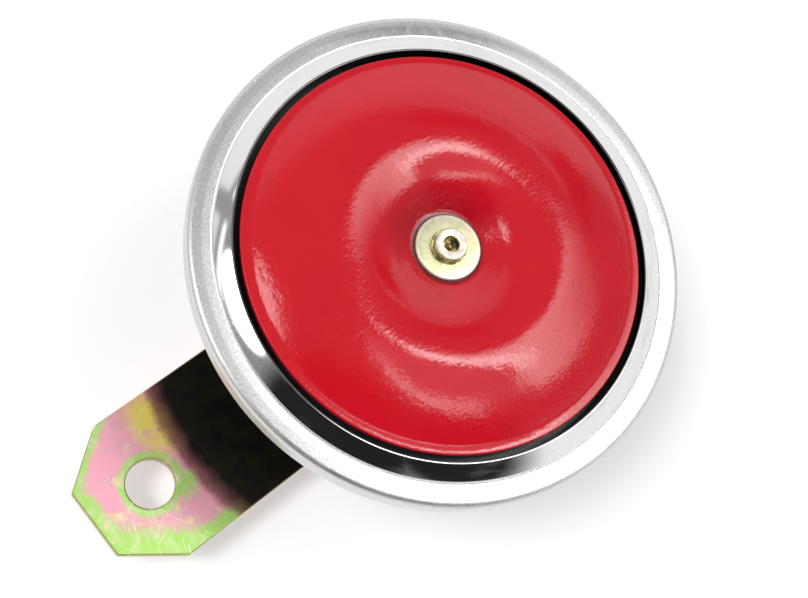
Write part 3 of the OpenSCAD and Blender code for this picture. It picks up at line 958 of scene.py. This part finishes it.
def adjusting_screw():
    """Slotted screw with a knurled head and a fine thread."""
    lo, top, r = low("adjusting_screw"), high("adjusting_screw"), radius("adjusting_screw")
    neck, shank = lo + 2.4, 2.0
    profile = [(0.001, lo), (r - 0.5, lo), (r - 0.12, lo + 0.12), (r, lo + 0.45),
               (r, neck - 0.2), (r - 0.2, neck), (shank, neck)]
    profile += [(shank, neck + 0.3 + 0.07 * i) for i in range(int((top - 0.6 - neck) / 0.07))]
    profile += [(shank - 0.4, top), (0.001, top)]

    def cut(a, rr, z):
        if rr > r - 0.05:
            return -0.10 * (1 + math.cos(a * 40)), 0
        if abs(rr - shank) < 0.05 and z > neck + 0.25:
            return thread(a, z, 0.7, 0.33), 0
        return 0, 0

    made = lathe("adjusting_screw_fine", profile, 240, at=(SCREW_X, 0), wobble=cut, closed=False)
    return carve(made, [block(SCREW_X, 0, lo, 0.9, 2 * r + 1, 2.4)])


def adjuster_bushing():
    """Grooved threaded bushing, pressed into the case."""
    lo, hi, r = low("adjuster_bushing"), high("adjuster_bushing"), radius("adjuster_bushing")
    profile = rounded([
        (2.05, lo, 0.2), (r, lo, 0.35), (r, lo + 1.2, 0.1), (r - 0.35, lo + 1.5, 0.1),
        (r - 0.35, lo + 2.1, 0.1), (r, lo + 2.4, 0.1), (r, BOWL_Z, 0.15), (2.7, BOWL_Z),
        (2.7, hi, 0.1), (2.05, hi, 0.1),
    ])
    return lathe("adjuster_bushing_fine", profile, 96, at=(SCREW_X, 0))


def rivet(name, x, y, shank, head, lo, hi, seat_lo, seat_hi):
    """A set rivet: a domed head behind and a flatter, peened one in front."""
    profile = rounded([
        (0.001, lo), (head * 0.45, lo, 0.5), (head * 0.92, (lo + seat_lo) / 2, 0.3),
        (head, seat_lo), (shank, seat_lo), (shank, seat_hi), (head, seat_hi),
        (head * 0.9, (hi + seat_hi) / 2, 0.3), (head * 0.4, hi, 0.4), (0.001, hi),
    ], closed=False)
    return lathe(name, profile, 64, at=(x, y), closed=False)


def breaker_rivets():
    """The pair that holds the contact blades to the case."""
    lo, hi = low("breaker_rivets"), high("breaker_rivets")
    return joined("breaker_rivets_fine", *[
        rivet("rivet", RIVET_X, side * RIVET_Y, 1.0, 1.8, lo, hi, lo + 0.7, hi - 0.7)
        for side in (-1, 1)
    ])


def terminal_rivets():
    """The pair that holds the blade terminals to their base."""
    lo, hi = low("terminal_rivets"), high("terminal_rivets")
    return joined("terminal_rivets_fine", *[
        rivet("rivet", side * TERM_X, TERM_Y, 1.4, 2.0, lo, hi, lo + 1, hi - 1)
        for side in (-1, 1)
    ])


def coil_winding():
    """Layered wire: a barrel with one ridge for each turn of its outer layer."""
    lo, hi, r = low("coil_winding"), high("coil_winding"), radius("coil_winding")
    wire, inner = 0.62, 10.0
    turns = int((hi - lo) / wire)
    ridges = []
    for i in range(turns):
        for k in range(6):
            t = (i + k / 6) / turns
            bulge = 0.13 * (1 - abs(math.sin(math.pi * k / 6 + math.pi / 2)))
            ridges.append((r - 0.15 + bulge, lo + (hi - lo) * t))
    profile = [(inner, lo)] + ridges + [(r - 0.15, hi), (inner, hi)]
    return lathe("coil_winding_fine", profile, 96)


place(housing(), "horn_case", "housing_black", BLACK, "housing")
place(pole_core(), "horn_case", "steel_bright", STEEL, "pole_core")
place(bracket_nut(), "horn_case", "washer_zinc", YELLOW, "bracket_nut")
place(flat_washer(), "horn_case", "washer_zinc", YELLOW, "flat_washer")
place(lock_washer(), "horn_case", "steel_bright", STEEL, "lock_washer")
place(adjusting_screw(), "adjuster", "steel_bright", STEEL, "adjusting_screw")
place(adjuster_bushing(), "horn_case", "spring_brass", BRASS, "adjuster_bushing")
place(breaker_rivets(), "horn_case", "steel_bright", STEEL, "breaker_rivets")
place(terminal_rivets(), "horn_case", "steel_bright", STEEL, "terminal_rivets")
place(coil_winding(), "horn_case", "copper_wire", COPPER, "coil_winding")
place(softened("terminal_base", 0.45, 3), "horn_case", "terminal_plastic", PLASTIC, "terminal_base")
place(softened("terminal_a", 0.14), "horn_case", "terminal_brass", TERMINAL, "terminal_a")
place(softened("terminal_b", 0.14), "horn_case", "terminal_brass", TERMINAL, "terminal_b")

CAD_MATERIALS = {
    "front_gasket": GASKET, "rear_gasket": GASKET,
    "disc_spacer": STEEL, "armature": IRON, "breaker_pusher": FIBRE,
    "coil_bobbin": BOBBIN, "coil_leads": SLEEVE,
    "breaker_base": STEEL, "blade_insulators": FIBRE, "fixed_contact_blade": BRASS,
    "fixed_contact_tip": CONTACT, "moving_contact_blade": BRASS, "moving_contact_tip": CONTACT,
    "resistor": CERAMIC, "resistor_leads": STEEL,
}
for node_name, material in CAD_MATERIALS.items():
    node_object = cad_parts[node_name]
    node_object.data.materials.clear()
    node_object.data.materials.append(material)

# ---------------------------------------------------------------- stage, light, camera


def floor():
    """A pale table top, level with the lowest point of the part; it also glows a little."""
    z = CAD_BOX[0].z
    mesh = bpy.data.meshes.new("floor")
    reach = 40
    corners = [(-reach, -reach, z), (reach, -reach, z), (reach, reach, z), (-reach, reach, z)]
    mesh.from_pydata(corners, [], [(0, 1, 2, 3)])
    obj = bpy.data.objects.new("floor", mesh)
    bpy.context.scene.collection.objects.link(obj)
    material = bpy.data.materials.new("pale_table")
    material.use_nodes = True
    bsdf = material.node_tree.nodes["Principled BSDF"]
    bsdf.inputs["Base Color"].default_value = (0.5, 0.5, 0.5, 1)
    bsdf.inputs["Roughness"].default_value = 0.9
    bsdf.inputs["Specular IOR Level"].default_value = 0.0
    bsdf.inputs["Emission Color"].default_value = (1, 1, 1, 1)
    bsdf.inputs["Emission Strength"].default_value = 0.37
    mesh.materials.append(material)


class Sky(Shade):
    """The studio, painted on the world: directions are (u, v), degrees from straight up."""

    def __init__(self):
        world = bpy.data.worlds.new("studio")
        bpy.context.scene.world = world
        world.use_nodes = True
        self.tree = world.node_tree
        self.back = self.tree.nodes["Background"]
        ray = self.node("ShaderNodeTexCoord").outputs["Generated"]
        parts = self.node("ShaderNodeSeparateXYZ", (ray,))
        dx, dy, dz = parts.outputs
        flat = self.vector("LENGTH", self.vector("MULTIPLY", ray, (1, 1, 0)))
        tilt = self.math("MULTIPLY", self.math("ARCCOSINE", dz), 180 / math.pi)
        reach = self.math("DIVIDE", tilt, self.math("MAXIMUM", flat, 1e-5))
        self.u = self.math("MULTIPLY", dx, reach)
        self.v = self.math("MULTIPLY", dy, reach)

    def oval(self, u, v, a, b, turn, soft):
        """1 inside an oval with half axes a and b, turned by degrees; soft is its edge."""
        t = math.radians(turn)
        du = self.math("SUBTRACT", self.u, u)
        dv = self.math("SUBTRACT", self.v, v)

        def weighed(p, by_p, q, by_q):
            return self.math("ADD", self.math("MULTIPLY", p, by_p), self.math("MULTIPLY", q, by_q))

        along = weighed(du, math.cos(t) / a, dv, math.sin(t) / a)
        across = weighed(du, -math.sin(t) / b, dv, math.cos(t) / b)
        far = self.math("SQRT", weighed(along, along, across, across))
        return self.fade(far, 1 + soft, 1 - soft)

    def add(self, total, mask, strength):
        return self.math("ADD", total, self.math("MULTIPLY", mask, strength))

    def cut(self, a, b):
        """a without b."""
        return self.math("MULTIPLY", a, self.math("SUBTRACT", 1, b))


def studio():
    """World light: walls, ceiling, and ovals of light and dark that the gloss mirrors.

    They were set so that the reflections look like the photograph's from its own viewpoint. They
    aren't a survey of a real room.
    """
    s = Sky()
    # pale walls, dark ceiling and a lighter line between them
    ceiling = s.math("MAXIMUM", s.oval(11, 22, 31, 46, 0, 0.03), s.oval(-8, 8, 37, 46, 0, 0.03))
    wall = s.blend(s.fade(s.v, 20, -60), 1.0, 0.62)
    level = s.blend(ceiling, wall, 0.30)
    cornice = s.cut(s.oval(-8, 8, 35, 44, 0, 0.012), s.oval(-8, 8, 33, 42, 0, 0.02))
    level = s.add(level, s.math("MULTIPLY", cornice, s.fade(s.u, 4, -6)), 1.1)
    # dark shapes, two of them round where the viewer stands
    beams = s.math("MAXIMUM", s.oval(0, 57, 9, 5, -25, 0.3), s.oval(-18, 38, 7, 5, 30, 0.3))
    level = s.blend(beams, level, 0.10)
    level = s.blend(s.oval(-42, -9.5, 10, 3.4, 15, 0.4), level, 0.36)
    viewer = s.math("MAXIMUM", s.oval(17, -27, 22, 20, 0, 0.18), s.oval(37, -3, 18, 13, 50, 0.42))
    level = s.blend(viewer, level, 0.018)
    # bright shapes: one on the left, then a large one with a gap in its middle
    level = s.add(level, s.oval(-21, -21, 12, 5.8, -22, 0.10), 6.0)
    level = s.add(level, s.oval(13.5, 8.5, 13, 12.5, 20, 0.10), 0.62)
    gap = s.math("MAXIMUM", s.oval(14, 8, 12, 11, 20, 0.03), s.oval(17, 15, 9, 6.2, 22, 0.03))
    fan = s.cut(s.oval(15.5, 26, 16, 25, 4, 0.04), gap)
    fan = s.math("MULTIPLY", fan, s.fade(s.v, 13, 16))
    fan = s.cut(fan, s.math("MULTIPLY", s.oval(31, 15, 6.5, 8, 0, 0.3), 0.85))
    level = s.add(level, s.math("MULTIPLY", fan, s.fade(s.v, 54, 16)), 5.0)
    # a bright bar and a crescent beside the gap
    bar = s.math("MAXIMUM", s.oval(10, 20.5, 12, 3.0, 19, 0.12), s.oval(3.5, 17, 4.5, 4.5, 0, 0.12))
    level = s.add(level, s.cut(bar, gap), 4.8)
    crescent = s.cut(s.oval(14.5, 12.5, 15, 15.5, 0, 0.03), s.oval(12, 15.5, 14, 15, 0, 0.04))
    level = s.add(level, s.math("MULTIPLY", crescent, s.fade(s.v, 15, 6)), 3.6)
    s.feed(s.back.inputs["Color"], (1, 1, 1))
    s.feed(s.back.inputs["Strength"], level)


def window_light():
    """Soft daylight from the strip's side; it lights, but isn't mirrored."""
    tilt, azimuth, far = math.radians(30), math.radians(248), 0.8
    rim = Vector((AXIS_X, AXIS_Y, RIM_Z * MM))
    away = Vector((
        math.sin(tilt) * math.cos(azimuth), math.sin(tilt) * math.sin(azimuth), math.cos(tilt)
    ))
    data = bpy.data.lights.new("window", "AREA")
    data.shape = "DISK"
    data.size = 0.2
    data.energy = 5.0
    obj = bpy.data.objects.new("window", data)
    obj.location = rim + away * far
    obj.rotation_mode = "QUATERNION"
    obj.rotation_quaternion = away.to_track_quat("Z", "Y")
    obj.visible_glossy = False
    bpy.context.scene.collection.objects.link(obj)


def camera():
    """The photograph's viewpoint: 26 degrees off the horn axis, a hand's breadth away."""
    target = Vector((AXIS_X + 2.68 * MM, AXIS_Y - 12.20 * MM, RIM_Z * MM))
    rim = Vector((AXIS_X, AXIS_Y, RIM_Z * MM))
    tilt, azimuth, distance = math.radians(26.04), math.radians(278.37), 0.232
    away = Vector((
        math.sin(tilt) * math.cos(azimuth), math.sin(tilt) * math.sin(azimuth), math.cos(tilt)
    ))
    where = rim + away * distance
    back = (where - target).normalized()
    right = Vector((0, 0, 1)).cross(back).normalized()
    up = back.cross(right)
    level = Matrix((right, up, back)).transposed()
    roll = Matrix.Rotation(math.radians(45.22), 3, "Z")
    data = bpy.data.cameras.new("camera")
    data.lens = 57.92
    data.sensor_width = 36
    data.clip_start = 0.01
    obj = bpy.data.objects.new("camera", data)
    obj.matrix_world = Matrix.Translation(where) @ (level @ roll).to_4x4()
    bpy.context.scene.collection.objects.link(obj)
    bpy.context.scene.camera = obj


floor()
studio()
window_light()
camera()
bpy.context.scene.view_settings.view_transform = "Standard"

# ---------------------------------------------------------------- last update

bpy.context.view_layer.update()
